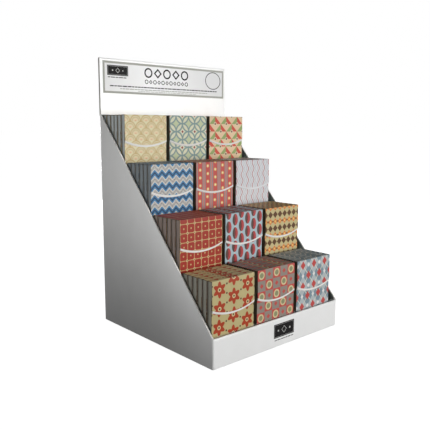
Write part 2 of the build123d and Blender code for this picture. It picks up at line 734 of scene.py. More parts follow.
    def argyle(self) -> Layers:
        """Draws tall diamonds in two tones under thin crossing lines, with lozenges on the front.

        Returns:
            The layers.
        """
        half_width, half_height, cell = 12.83, 16.0, 2.0
        line, lozenge, heart, edge = 0.06, 0.42, 0.24, 0.02
        drop = self.v / half_height - 0.5
        rising = self.u / half_width + drop
        falling = self.u / half_width - drop
        other = rising.odd(cell).unlike(falling.odd(cell))
        up, down = abs(rising.amid(cell)), abs(falling.amid(cell))
        corner = abs(rising.near(cell)) | abs(falling.near(cell))
        front = self.v.over(0.0)
        return [
            (0, other),
            (1, up.under(line, edge) | down.under(line, edge)),
            (2, (up | down).under(lozenge, edge) * front),
            (3, corner.under(heart, edge) * front),
        ]


@dataclass(frozen=True)
class CardPrint:
    """A printed card: a design, its ground and its inks, and the tone of the leaves inside, with
    painted light and shade.
    """

    motif: Motif
    ground: Colour
    inks: tuple[Colour, ...]
    trim: Colour = (236, 234, 230)
    scuff: Colour = (214, 208, 198)
    shade: Colour = (60, 52, 46)
    # The leaves' tone is partly painted shade: this darker default is for stacks whose page edges
    # show only in the gaps.
    paper: Colour = (160, 154, 132)
    edge: Colour = (108, 102, 96)
    edge_speck: Colour = (82, 77, 72)
    edge_tint: float = 0.3
    speck_tint: float = 0.15
    rub_width: float = 0.7
    rub_fade: float = 1.0
    wear: float = 0.45
    worn_roughness: float = 0.3
    shading: float = 0.07

    def cut_edge(self) -> PlainCard:
        """Gives the cut edges of the card, which take on a little of the print's colour.

        Returns:
            Their finish.
        """
        tone = blend(self.ground, self.inks[0], 0.5)
        colour = blend(self.edge, tone, self.edge_tint)
        return PlainCard(colour, blend(self.edge_speck, tone, self.speck_tint))

    def make(self, name: str, pad: Pad) -> bpy.types.Material:
        """Makes the material.

        Args:
            name: Its name.
            pad: The notepad that it covers, for the trim and the folds.

        Returns:
            The material, which reads the map of print coordinates.
        """
        surface = Surface(name)
        card = surface.node("ShaderNodeUVMap", {"uv_map": PRINT_MAP}, {}).outputs[0]
        u, v, _ = surface.parts(card)
        colour = ink(self.ground)
        for number, mask in Drawing(u, v).layers(self.motif):
            colour = surface.paint(colour, ink(self.inks[number]), mask)

        # The pale trim follows the flap's curved edge
        from_centre = (u - pad.width / 2).reach(v + (pad.arc_radius - pad.arc_drop))
        trim = from_centre.within(pad.arc_radius - pad.trim_width, pad.arc_radius + pad.card)
        colour = surface.paint(colour, ink(self.trim), trim)

        # The spine's two folds are rubbed, and the whole card is a little uneven
        where = surface.place()
        fibres = surface.noise(where, grain=0.35, detail=3.0)
        clouds = surface.noise(where, grain=9.0).over(0.5, soft=0.8)
        patches = surface.noise(where, grain=1.6, detail=4.0).over(0.56, soft=0.25)
        front_fold = abs(v).under(self.rub_width, self.rub_fade)
        back_fold = abs(v + pad.depth).under(self.rub_width, self.rub_fade)
        worn = (front_fold | back_fold) * patches * self.wear
        colour = surface.paint(colour, ink(self.scuff), worn)
        colour = surface.paint(colour, ink(self.shade), clouds * self.shading)
        return surface.finish(
            Base_Color=colour,
            Roughness=fibres.swing(middle=0.5, width=0.16) + worn * self.worn_roughness,
            Normal=surface.bump(fibres, strength=0.12, depth=0.05),
            Specular_IOR_Level=0.22,
        )


@dataclass(frozen=True)
class CutLeaves:
    """The cut edges of a block of thin leaves."""

    colour: Colour
    shade: Colour = (136, 132, 124)
    shade_share: float = 0.8
    leaf: float = 0.22
    streak: Place = (0.02, 1.0, 0.02)
    wander: float = 4.0
    depth: float = 0.65

    def make(self, name: str) -> bpy.types.Material:
        """Makes the material.

        Args:
            name: Its name.

        Returns:
            The material.
        """
        surface = Surface(name)
        where = surface.place()
        _, y, _ = surface.parts(where)
        sockets = {0: where, 1: self.streak}
        streaks = surface.node("ShaderNodeVectorMath", {"operation": "MULTIPLY"}, sockets)
        uneven = surface.noise(streaks.outputs[0], grain=self.leaf)
        lines = (y * (math.pi / self.leaf) + uneven * self.wander).sine() * 0.5 + 0.5
        shade = blend(self.colour, self.shade, self.shade_share)
        shaded = lines * self.depth * uneven.over(0.45, soft=0.4)
        return surface.finish(
            Base_Color=surface.paint(ink(self.colour), ink(shade), shaded),
            Roughness=uneven.swing(middle=0.77, width=-0.1),
            Normal=surface.bump(lines * uneven, strength=0.4, depth=0.08),
        )


class CardFace(Enum):
    """The finishes of a cover, in the order of their materials."""

    PRINTED = 0
    PLAIN = 1
    CUT = 2


class Patch(Enum):
    """The parts of a cover, in the order in which the coarse ones stand on the baked picture."""

    PANEL = auto()
    BACK = auto()
    FLAP = auto()
    INSIDE = auto()
    SPINE = auto()
    EDGE = auto()
    END = auto()


@dataclass(frozen=True)
class BakeSheet:
    """Where a stack's covers lie on the picture that they are baked to.

    What shows has most room. Lengths on the picture are pixels, and those of card are millimetres.
    """

    width: float
    lengths: dict[Patch, float]
    covers: int
    side: float = 512.0
    margin: float = 2.0
    fine: float = 3.0
    coarse: float = 0.4
    strip: float = 3.0

    def spot(
        self, patch: Patch, cover: int, across: float, along: float, second: bool = False
    ) -> Point:
        """Gives the place of a point on the picture.

        Args:
            patch: The part of the cover.
            cover: The cover's number, from the front of the stack.
            across: How far across the part the point is, from 0 to 1.
            along: How far along it, from 0 to 1.
            second: True for the second of a cover's two edges or ends.

        Returns:
            The place as shares of the picture's sides.
        """
        wide = self.width * self.fine
        right = wide + 2 * self.margin
        flap = self.lengths[Patch.FLAP] * self.fine
        panel = self.lengths[Patch.PANEL] * self.fine
        spine = self.lengths[Patch.SPINE] * self.fine
        foot = flap + panel + 3 * self.margin
        pitch = self.strip + self.margin
        number = 2 * cover + second
        if patch is Patch.SPINE:
            corner = (right, self.margin + cover * (spine + self.margin))
            size = (wide, spine)
        elif patch is Patch.FLAP and cover == 0:
            corner = (self.margin, self.margin)
            size = (wide, flap)
        elif patch is Patch.PANEL and cover == 0:
            corner = (self.margin, flap + 2 * self.margin)
            size = (wide, panel)
        elif patch is Patch.EDGE:
            corner = (self.margin + number * pitch, foot)
            size = (self.strip, self.side - foot - self.margin)
        elif patch is Patch.END:
            corner = (2 * self.margin + 2 * self.covers * pitch, foot + number * pitch)
            size = (self.width * self.coarse, self.strip)
        else:
            size = (self.width * self.coarse, self.lengths[patch] * self.coarse)
            low = self.margin + self.covers * (spine + self.margin)
            for other in Patch:
                if other is patch:
                    break
                low += self.lengths[other] * self.coarse + self.margin
            corner = (right + cover * (size[0] + self.margin), low)
        return (
            (corner[0] + across * size[0]) / self.side,
            (corner[1] + along * size[1]) / self.side,
        )


@dataclass
class FoldedCover:
    """One folded cover of a stack, of rows of points on both sides of its card.

    The rows run from the lower panel's top edge, round the foot, back and spine, to the flap's
    free edge. A point's drop is its length of card below the top fold.
    """

    skin: Skin
    pad: Pad
    number: int
    count: int
    corner: Place
    lift: float
    columns: int = 22
    fold_steps: int = 4
    flap_rows: int = 6
    outer: list[list[int]] = field(default_factory=list)
    inner: list[list[int]] = field(default_factory=list)
    drops: list[list[float]] = field(default_factory=list)

    @cached_property
    def across(self) -> list[float]:
        """The places of the columns of points, from the card's left edge."""
        return [self.pad.width * number / self.columns for number in range(self.columns + 1)]

    @cached_property
    def spans(self) -> dict[Patch, tuple[int, int]]:
        """The rows between which each part of the card lies.

        Returns:
            The first and the last row by part.
        """
        bend = self.fold_steps + 1
        last = 4 * bend + self.flap_rows
        return {
            Patch.PANEL: (0, bend),
            Patch.BACK: (bend, 2 * bend + 1),
            Patch.SPINE: (2 * bend + 1, 4 * bend),
            Patch.FLAP: (4 * bend, last),
            Patch.INSIDE: (0, last),
        }

    @property
    def last(self) -> int:
        """The row of the flap's free edge."""
        return self.spans[Patch.INSIDE][1]

    @cached_property
    def stretches(self) -> dict[Patch, Point]:
        """The stretches of card that the parts take up, once the points are there.

        Returns:
            The drop at which each part starts, and its length.
        """
        drops = [row[self.columns // 2] for row in self.drops]
        spans = self.spans.items()
        return {patch: (drops[low], drops[high] - drops[low]) for patch, (low, high) in spans}

    @cached_property
    def sheet(self) -> BakeSheet:
        """The picture that the stack's covers are baked to."""
        lengths = {patch: length for patch, (_, length) in self.stretches.items()}
        return BakeSheet(self.pad.width, lengths, self.count)

    def profile(self) -> list[tuple[float, float, float, float, float]]:
        """Follows the middle of the card from the lower panel's top edge to the top of the flap.

        Returns:
            For each row: Y, Z, the outward normal's Y and Z, and the length of card so far.
        """
        pad = self.pad
        half = pad.card / 2
        bends = [
            ((pad.panel, half), (0, -1), (1, 0)),
            ((pad.depth - half, half), (1, 0), (0, 1)),
            ((pad.depth - half, pad.height - half), (0, 1), (-1, 0)),
            ((half, pad.height - half), (-1, 0), (0, -1)),
        ]
        rows = [(pad.panel, pad.panel_top, -1.0, 0.0, 0.0)]
        for (corner_y, corner_z), before, after in bends:
            centre_y = corner_y + pad.fold_radius * (after[0] - before[0])
            centre_z = corner_z + pad.fold_radius * (after[1] - before[1])
            for step in range(self.fold_steps + 1):
                turn = math.pi / 2 * step / self.fold_steps
                normal_y = before[1] * math.cos(turn) + after[1] * math.sin(turn)
                normal_z = -before[0] * math.cos(turn) - after[0] * math.sin(turn)
                y = centre_y + pad.fold_radius * normal_y
                z = centre_z + pad.fold_radius * normal_z
                length = rows[-1][4] + math.hypot(y - rows[-1][0], z - rows[-1][1])
                rows.append((y, z, normal_y, normal_z, length))
        return rows

    def add_points(self) -> None:
        """Adds the points of both sides of the card."""
        pad = self.pad
        half = pad.card / 2
        left, front, floor = self.corner
        rows = self.profile()
        _, fold_z, _, _, fold_length = rows[-1]
        for row in range(self.last + 1):
            for grid in (self.outer, self.inner, self.drops):
                grid.append([])
            for x in self.across:
                if row < len(rows):
                    y, z, normal_y, normal_z, length = rows[row]
                    drop = length - fold_length + pad.height - fold_z
                else:
                    share = (row - len(rows) + 1) / self.flap_rows
                    y = half - self.lift * share * share
                    z = fold_z + share * (pad.flap_edge(x) - fold_z)
                    normal_y, normal_z = -1.0, 0.0
                    drop = pad.height - z
                self.drops[-1].append(drop)
                for side, grid in ((half, self.outer), (-half, self.inner)):
                    place = (left + x, front + y + side * normal_y, floor + z + side * normal_z)
                    grid[-1].append(self.skin.point(*place))

    def along(self, patch: Patch, row: int, column: int) -> float:
        """Gives how far along a part a point is, from 0 to 1."""
        start, length = self.stretches[patch]
        return (self.drops[row][column] - start) / length

    def add(self) -> None:
        """Adds the whole cover to the mesh."""
        self.add_points()
        for patch in (Patch.PANEL, Patch.BACK, Patch.SPINE, Patch.FLAP):
            for row in range(*self.spans[patch]):
                self.add_row(patch, row)
        for column in range(self.columns):
            self.add_ends(column)

    def add_row(self, patch: Patch, row: int) -> None:
        """Adds the faces of both sides of the card between two rows, and those of its cut edges.

        Args:
            patch: The part of the cover that the faces are on.
            row: The first of the two rows.
        """
        shift = 0.0
        if patch is Patch.PANEL:
            shift = (self.pad.height - self.pad.panel_top) - self.drops[0][0]
        for column in range(self.columns):
            following = column + 1
            corners = [(row, column), (row + 1, column), (row + 1, following), (row, following)]
            prints = [(self.across[at], self.drops[line][at] + shift) for line, at in corners]
            maps = {PRINT_MAP: prints, BAKE_MAP: self.spots(patch, corners)}
            points = tuple(self.outer[line][at] for line, at in corners)
            self.skin.face(points, CardFace.PRINTED.value, **maps)
            corners.reverse()
            maps = {BAKE_MAP: self.spots(Patch.INSIDE, corners)}
            points = tuple(self.inner[line][at] for line, at in corners)
            self.skin.face(points, CardFace.PLAIN.value, **maps)

        low, high = (self.along(Patch.INSIDE, line, 0) for line in (row, row + 1))
        for side, second in ((0, False), (-1, True)):
            cut = [
                (self.outer[row][side], 0.0, low),
                (self.inner[row][side], 1.0, low),
                (self.inner[row + 1][side], 1.0, high),
                (self.outer[row + 1][side], 0.0, high),
            ]
            self.add_cut(Patch.EDGE, cut, second)

    def add_ends(self, column: int) -> None:
        """Adds the cut faces of the lower panel's top edge and of the flap's edge.

        Args:
            column: The first of the two columns that they lie between.
        """
        following = column + 1
        low, high = column / self.columns, following / self.columns
        for row, second in ((0, False), (self.last, True)):
            cut = [
                (self.outer[row][column], low, 0.0),
                (self.outer[row][following], high, 0.0),
                (self.inner[row][following], high, 1.0),
                (self.inner[row][column], low, 1.0),
            ]
            self.add_cut(Patch.END, cut, second)

    def spots(self, patch: Patch, corners: list[tuple[int, int]]) -> list[Point]:
        """Gives the places on the baked picture of corners given by their rows and columns."""
        shares = [(at / self.columns, self.along(patch, row, at)) for row, at in corners]
        return [self.sheet.spot(patch, self.number, *share) for share in shares]

    def add_cut(self, patch: Patch, cut: list[tuple[int, float, float]], second: bool) -> None:
        """Adds a face of the card's cut edges.

        Args:
            patch: The part of the cover that it is on.
            cut: Each corner's point, and how far across and along the part it is.
            second: True for the second of the two edges or ends, which faces the other way.
        """
        if second:
            cut = [cut[0], *reversed(cut[1:])]
        spots = [self.sheet.spot(patch, self.number, *share, second) for _, *share in cut]
        points = tuple(point for point, _, _ in cut)
        self.skin.face(points, CardFace.CUT.value, **{BAKE_MAP: spots})


@dataclass
class NotepadStack:
    """One stack of notepads: folded printed covers, and the blocks of leaves that they hold."""

    tier: int
    column: str
    pad: Pad
    corner: Place
    count: int = 6
    shift: float = 0.35
    front_lift: float = 0.55
    rear_lift: float = 0.12
    least_lift: float = 0.4
    leaf_layers: int = 14
    leaf_degrees: float = 20.0
    uneven_side: float = 0.28
    uneven_foot: float = 0.3
    uneven_head: float = 0.1

    @property
    def name(self) -> str:
        """The stack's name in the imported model."""
        return f"tier_{self.tier}_{self.column}"

    def add_leaves(self, skin: Skin, corner: Place, dice: random.Random) -> None:
        """Adds one block of leaves, whose layers stand a little in or out.

        Args:
            skin: The mesh that it goes into.
            corner: The place of its notepad.
            dice: The source of the small differences.
        """
        pad = self.pad
        left, front, floor = corner
        first = front + pad.block_front
        depth = pad.depth - pad.card - pad.block_front
        rings: list[list[int]] = []
        for layer in range(self.leaf_layers):
            low_x = left + pad.overhang + dice.uniform(0.0, self.uneven_side)
            high_x = left + pad.width - pad.overhang - dice.uniform(0.0, self.uneven_side)
            low_z = floor + pad.leaf_foot + dice.uniform(0.0, self.uneven_foot)
            high_z = floor + pad.height - pad.leaf_head - dice.uniform(0.0, self.uneven_head)
            loop = ((low_x, low_z), (high_x, low_z), (high_x, high_z), (low_x, high_z))
            for end in (0, 1):
                y = first + depth * (layer + end) / self.leaf_layers
                rings.append([skin.point(x, y, z) for x, z in loop])
        skin.face(tuple(rings[0]))
        for near, far in zip(rings, rings[1:]):
            skin.wall(near, far, 0)
        skin.face(tuple(reversed(rings[-1])))

    def build(self, design: CardPrint, inside: bpy.types.Material) -> None:
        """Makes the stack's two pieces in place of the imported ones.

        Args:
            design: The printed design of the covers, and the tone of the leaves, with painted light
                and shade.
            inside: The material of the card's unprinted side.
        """
        dice = random.Random(f"covers {self.name}")
        covers = Skin()
        leaves = Skin()
        left, front, floor = self.corner
        for number in range(self.count):
            shift = dice.uniform(-self.shift, self.shift)
            corner = (left + shift, front + number * self.pad.pitch, floor)
            most = self.rear_lift if number else self.front_lift
            lift = most * dice.uniform(self.least_lift, 1.0)
            FoldedCover(covers, self.pad, number, self.count, corner, lift).add()
            self.add_leaves(leaves, corner, dice)

        slot = f"card_{self.name}"
        edge = design.cut_edge().make(f"card_edge_{self.name}")
        made = covers.make(
            f"printed_covers_{self.name}", [design.make(slot, self.pad), inside, edge]
        )
        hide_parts(f"covers_{self.name}")
        log.info("%s: %d covers, design %s", made.name, self.count, design.motif.value)
        # The leaves' tone is their paper with painted light and shade for this stack's page edges.
        paper = CutLeaves(design.paper).make(f"cut_leaves_{self.name}")
        made = leaves.make(f"leaf_blocks_{self.name}", [paper], self.leaf_degrees)
        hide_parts(f"leaves_{self.name}")
        log.info("%s: %d blocks", made.name, self.count)


@dataclass(frozen=True)
class TraySizes:
    """The sizes of the tray that its finish and its print follow."""

    width: float
    depth: float
    board: float = 2.0
    ply_gap: float = 0.2
    lip_height: float = 41.0
    side_height: float = 330.0
    side_land: float = 5.0
    header_foot: float = 331.8

    @property
    def two_plies(self) -> float:
        """The thickness of the doubled board."""
        return 2 * self.board + self.ply_gap

    @property
    def header_face(self) -> float:
        """The Y of the header's printed face."""
        return self.depth / 2 - self.two_plies

    @property
    def lip_face(self) -> float:
        """The Y of the lip's printed face."""
        return -self.depth / 2


@dataclass(frozen=True)
class WhiteBoard:
    """White-lined corrugated board, of a darker tone on the faces inside the tray, with flutes at
    its cut edges.
    """

    tray: TraySizes
    liner: Colour = (241, 241, 240)
    cloud: Colour = (228, 228, 226)
    clouding: float = 0.3
    inside_tone: Colour = (114, 126, 124)
    paper: Colour = (232, 230, 226)
    hollow_shade: Colour = (182, 178, 172)
    flute_pitch: float = 4.4
    flute_swing: float = 0.5
    flute_line: float = 0.22
    flute_share: float = 0.55
    liner_thickness: float = 0.3
    inner_roughness: float = 0.25
    cut_roughness: float = 0.4
    face_slack: float = 0.05
    wall_slack: float = 0.1
    slope_slack: float = 0.12
    header_slack: float = 0.5
    crisp: float = 0.02

    def make(self, name: str) -> bpy.types.Material:
        """Makes the material.

        Args:
            name: Its name.

        Returns:
            The material.
        """
        surface = Surface(name)
        where = surface.place()
        x, y, z = surface.parts(where)
        fibres = surface.noise(where, grain=0.5, detail=4.0)
        clouds = surface.noise(where, grain=26.0, detail=3.0).over(0.5, soft=0.5)
        inside = self.inside(x, y, z)
        cut, shaded_hollows = self.cut_edges(x, y, z)
        colour = surface.paint(ink(self.liner), ink(self.cloud), clouds * self.clouding)
        # The faces inside the tray take a darker tone.
        colour = surface.paint(colour, ink(self.inside_tone), inside)
        colour = surface.paint(colour, ink(self.paper), cut)
        # Painted shade: the hollows between the flutes at the cut edges are darker.
        colour = surface.paint(colour, ink(self.hollow_shade), cut * shaded_hollows)

        # The flutes show faintly through the liner, and run up every wall
        normal = surface.node("ShaderNodeNewGeometry", {}, {}).outputs["Normal"]
        sideways = abs(surface.parts(normal)[0]).over(0.5, soft=0.1)
        along = x + sideways * (y - x)
        flutes = (along * (FULL_TURN / self.flute_pitch)).sine() * 0.5 + 0.5
        height = flutes * self.flute_share + fibres * (1 - self.flute_share)
        matt = inside * self.inner_roughness + cut * self.cut_roughness
        return surface.finish(
            Base_Color=colour,
            Roughness=fibres.swing(middle=0.38, width=0.14) + matt,
            Normal=surface.bump(height, strength=0.1, depth=0.1),
            Specular_IOR_Level=0.45,
        )

    def inside(self, x: Value, y: Value, z: Value) -> Value:
        """Makes a mask of the faces inside the tray, which take a darker tone.

        Args:
            x: The place across the box.
            y: The place from front to back.
            z: The height.

        Returns:
            The mask.
        """
        tray, slack, crisp = self.tray, self.face_slack, self.crisp
        between = abs(x).under(tray.width / 2 - tray.board + slack, crisp)
        behind_lip = y.over(tray.two_plies - tray.depth / 2 + slack, crisp)
        before_back = y.under(tray.depth / 2 - tray.board + slack, crisp)
        below_header = z.within(tray.two_plies - slack, tray.header_foot - slack, crisp)
        return between * behind_lip * before_back * below_header

    def cut_edges(self, x: Value, y: Value, z: Value) -> tuple[Value, Value]:
        """Makes masks of the cut edges of the board, and of the painted shade in the hollows
        between their flutes.

        Args:
            x: The place across the box.
            y: The place from front to back.
            z: The height.

        Returns:
            The mask of the edges and the mask of the painted shade in the hollows.
        """
        tray, crisp = self.tray, self.crisp
        run = tray.depth - tray.side_land
        rise = tray.side_height - tray.lip_height
        slope = math.hypot(run, rise)
        up, back = z - tray.lip_height, y + tray.depth / 2
        above = up * (run / slope) - back * (rise / slope)
        along = up * (rise / slope) + back * (run / slope)
        wall = abs(x).over(tray.width / 2 - tray.board - self.wall_slack, crisp)
        below_top = z.under(tray.side_height + self.wall_slack, crisp)
        side_cut = above.over(-self.slope_slack, crisp) * below_top * wall
        # Painted shade: between the liners, away from the wavy flute, the hollows are darker.
        flute = (along * (FULL_TURN / self.flute_pitch)).sine() * self.flute_swing
        across = abs(x) - (tray.width - tray.board) / 2
        between_liners = tray.board / 2 - self.liner_thickness
        side_hollow_shade = abs(across).under(between_liners) * abs(across - flute).over(self.flute_line)

        header_end = abs(x).over(tray.width / 2 - self.face_slack, crisp)
        header_cut = header_end * z.over(tray.side_height + self.header_slack, crisp)
        # Painted shade: in the header's cut end, the core of each ply is darker, as its hollows.
        ply = (y - tray.depth / 2 + tray.board / 2).near(tray.board + tray.ply_gap)
        header_hollow_shade = abs(ply).under(between_liners)
        return side_cut | header_cut, side_hollow_shade * side_cut | header_hollow_shade * header_cut


@dataclass(frozen=True)
class DarkBoard:
    """Matt dark board, with fibres."""

    colour: Colour = (47, 41, 37)
    fibre: Colour = (72, 64, 58)
    fibre_share: float = 0.6
    cloud_share: float = 0.2

    def make(self, name: str) -> bpy.types.Material:
        """Makes the material.

        Args:
            name: Its name.

        Returns:
            The material.
        """
        surface = Surface(name)
        where = surface.place()
        fibres = surface.noise(where, grain=0.5, detail=4.0)
        clouds = surface.noise(where, grain=18.0, detail=3.0)
        specks = fibres.over(0.58, soft=0.2) * self.fibre_share + clouds * self.cloud_share
        return surface.finish(
            Base_Color=surface.paint(ink(self.colour), ink(self.fibre), specks),
            Roughness=fibres.swing(middle=0.8, width=0.2),
            Normal=surface.bump(fibres, strength=0.3, depth=0.1),
        )


@dataclass(frozen=True)
class PrintersInk:
    """A flat ink on the white board, a little thinner here and there."""

    colour: Colour
    thin: Colour
    thinning: float = 0.5

    def make(self, name: str) -> bpy.types.Material:
        """Makes the material.

        Args:
            name: Its name.

        Returns:
            The material.
        """
        surface = Surface(name)
        grain = surface.noise(surface.place(), grain=0.4, detail=3.0)
        thinner = grain.over(0.6, soft=0.3) * self.thinning
        return surface.finish(
            Base_Color=surface.paint(ink(self.colour), ink(self.thin), thinner),
            Roughness=grain.swing(middle=0.6, width=0.2),
            Normal=surface.bump(grain, strength=0.1, depth=0.03),
            Specular_IOR_Level=0.15,
        )


@dataclass(frozen=True)
class PaleTint:
    """A pale tint over a wide panel of the white board, deeper away from the place light_x."""

    light: Colour = (236, 236, 236)
    deep: Colour = (215, 215, 215)
    light_x: float = -40.0
    fade: float = 140.0

    def make(self, name: str) -> bpy.types.Material:
        """Makes the material.

        Args:
            name: Its name.

        Returns:
            The material.
        """
        surface = Surface(name)
        where = surface.place()
        x, _, _ = surface.parts(where)
        grain = surface.noise(where, grain=0.5, detail=3.0)
        deeper = abs(x - self.light_x) / self.fade + grain.swing(middle=0.0, width=0.2)
        return surface.finish(
            Base_Color=surface.paint(ink(self.light), ink(self.deep), deeper),
            Roughness=grain.swing(middle=0.5, width=0.16),
            Normal=surface.bump(grain, strength=0.1, depth=0.03),
            Specular_IOR_Level=0.3,
        )


class Tone(Enum):
    """The inks of the header and the lip, in the order of their materials."""

    DARK = 0
    RULE = 1
    PALE = 2
    TINT = 3


@dataclass(frozen=True)
class Rule:
    """A rule of uneven dashes, by its lower left corner."""

    corner: Point
    length: float
    height: float
    tone: Tone
    gap: float = 1.0
    shortest: float = 3.0
    longest: float = 9.0


@dataclass(frozen=True)
class ShapeRow:
    """A row of open rings and diamonds in turn, with as many on each side of the middle one."""

    centre: Point
    pitch: float
    radius: float
    each_side: int
    ring_in_middle: bool
    ring_line: float
    ring_points: int
    diamond_line: float


class InkSheet(Skin):
    """Flat shapes of ink on one upright face of the tray."""

    diamond_points: int = 4

    def __init__(self, face: float, film: float = 0.05) -> None:
        """Starts an empty sheet.

        Args:
            face: The Y of the face that carries the ink.
            film: The thickness of one layer of ink.
        """
        super().__init__()
        self.face_y = face
        self.film = film
        self.washes = 0

    def depths(self, layer: int) -> tuple[float, float]:
        """Gives the Y of the front and the back of a layer of ink."""
        front = self.face_y - self.film * (self.washes + layer + 1)
        return front, self.face_y + self.film / 2

    @staticmethod
    def corners(box: Box) -> list[Point]:
        """Gives the corners of an upright rectangle, anticlockwise from the front."""
        (left, foot), (right, head) = box
        return [(left, foot), (right, foot), (right, head), (left, head)]

    @staticmethod
    def shrink(box: Box, margin: float) -> Box:
        """Takes a margin off all sides of a rectangle."""
        (left, foot), (right, head) = box
        return (left + margin, foot + margin), (right - margin, head - margin)

    @staticmethod
    def around(centre: Point, radius: float, count: int, stretch: float = 1.0) -> list[Point]:
        """Gives points round a circle, anticlockwise from the front, starting at the top.

        Args:
            centre: The circle's centre.
            radius: Its radius.
            count: How many points there are.
            stretch: How much wider than high the circle is drawn.

        Returns:
            The points.
        """
        x, z = centre
        wide = radius * stretch
        turns = [math.pi / 2 + FULL_TURN * number / count for number in range(count)]
        return [(x + wide * math.cos(turn), z + radius * math.sin(turn)) for turn in turns]

    def plate(self, box: Box, tone: Tone, layer: int = 0) -> None:
        """Prints a filled rectangle."""
        self.slab(self.corners(box), *self.depths(layer), tone.value)

    def wash(self, box: Box, tone: Tone) -> None:
        """Prints a filled rectangle that all later shapes lie on."""
        self.plate(box, tone)
        self.washes += 1

    def frame(self, box: Box, line: float, tone: Tone, layer: int = 0) -> None:
        """Prints the outline of a rectangle."""
        inside = self.corners(self.shrink(box, line))
        self.band(self.corners(box), inside, *self.depths(layer), tone.value)

    def spot(self, centre: Point, radius: float, count: int, tone: Tone, layer: int = 0) -> None:
        """Prints a filled circle."""
        self.slab(self.around(centre, radius, count), *self.depths(layer), tone.value)

    def ring(
        self,
        centre: Point,
        radius: float,
        line: float,
        count: int,
        tone: Tone,
        layer: int = 0,
        stretch: float = 1.0,
    ) -> None:
        """Prints the outline of a circle, or of a diamond where count is 4.

        Args:
            centre: Its centre.
            radius: Its outer radius.
            line: The thickness of the outline.
            count: How many points it has.
            tone: Its ink.
            layer: The layers of ink under it.
            stretch: How much wider than high it is.
        """
        outside = self.around(centre, radius, count, stretch)
        inside = self.around(centre, radius - line, count, stretch)
        self.band(outside, inside, *self.depths(layer), tone.value)

    def row(self, shapes: ShapeRow) -> None:
        """Prints a row of open shapes.

        Args:
            shapes: The row.
        """
        x, z = shapes.centre
        for number in range(-shapes.each_side, shapes.each_side + 1):
            centre = (x + number * shapes.pitch, z)
            line, count = shapes.diamond_line, self.diamond_points
            if shapes.ring_in_middle == (number % 2 == 0):
                line, count = shapes.ring_line, shapes.ring_points
            self.ring(centre, shapes.radius, line, count, Tone.DARK)

    def dashes(self, rule: Rule, dice: random.Random) -> None:
        """Prints a rule of uneven dashes.

        Args:
            rule: The rule.
            dice: The source of the dashes' lengths.
        """
        x, foot = rule.corner
        end = x + rule.length
        while x < end - rule.gap:
            stop = min(end, x + dice.uniform(rule.shortest, rule.longest))
            self.plate(((x, foot), (stop, foot + rule.height)), rule.tone)
            x = stop + rule.gap

    def ornament(
        self,
        box: Box,
        margin: float = 1.3,
        frame_line: float = 0.3,
        diamond_line: float = 0.8,
        bead_points: int = 20,
    ) -> None:
        """Prints a dark plate with a fine inner frame, a diamond and two beads.

        Args:
            box: The plate.
            margin: How far inside the plate's edge the frame is.
            frame_line: The thickness of the frame.
            diamond_line: The thickness of the diamond's outline.
            bead_points: How many points a bead has.
        """
        (left, foot), (right, head) = box
        x, z = (left + right) / 2, (foot + head) / 2
        height = head - foot
        diamond, bead, bead_x = 0.26 * height, 0.07 * height, 0.6 * height
        self.plate(box, Tone.DARK)
        self.frame(self.shrink(box, margin), frame_line, Tone.PALE, 1)
        self.ring((x, z), diamond, diamond_line, self.diamond_points, Tone.PALE, 1)
        for side in (-1, 1):
            self.spot((x + side * bead_x, z), bead, bead_points, Tone.PALE, 1)


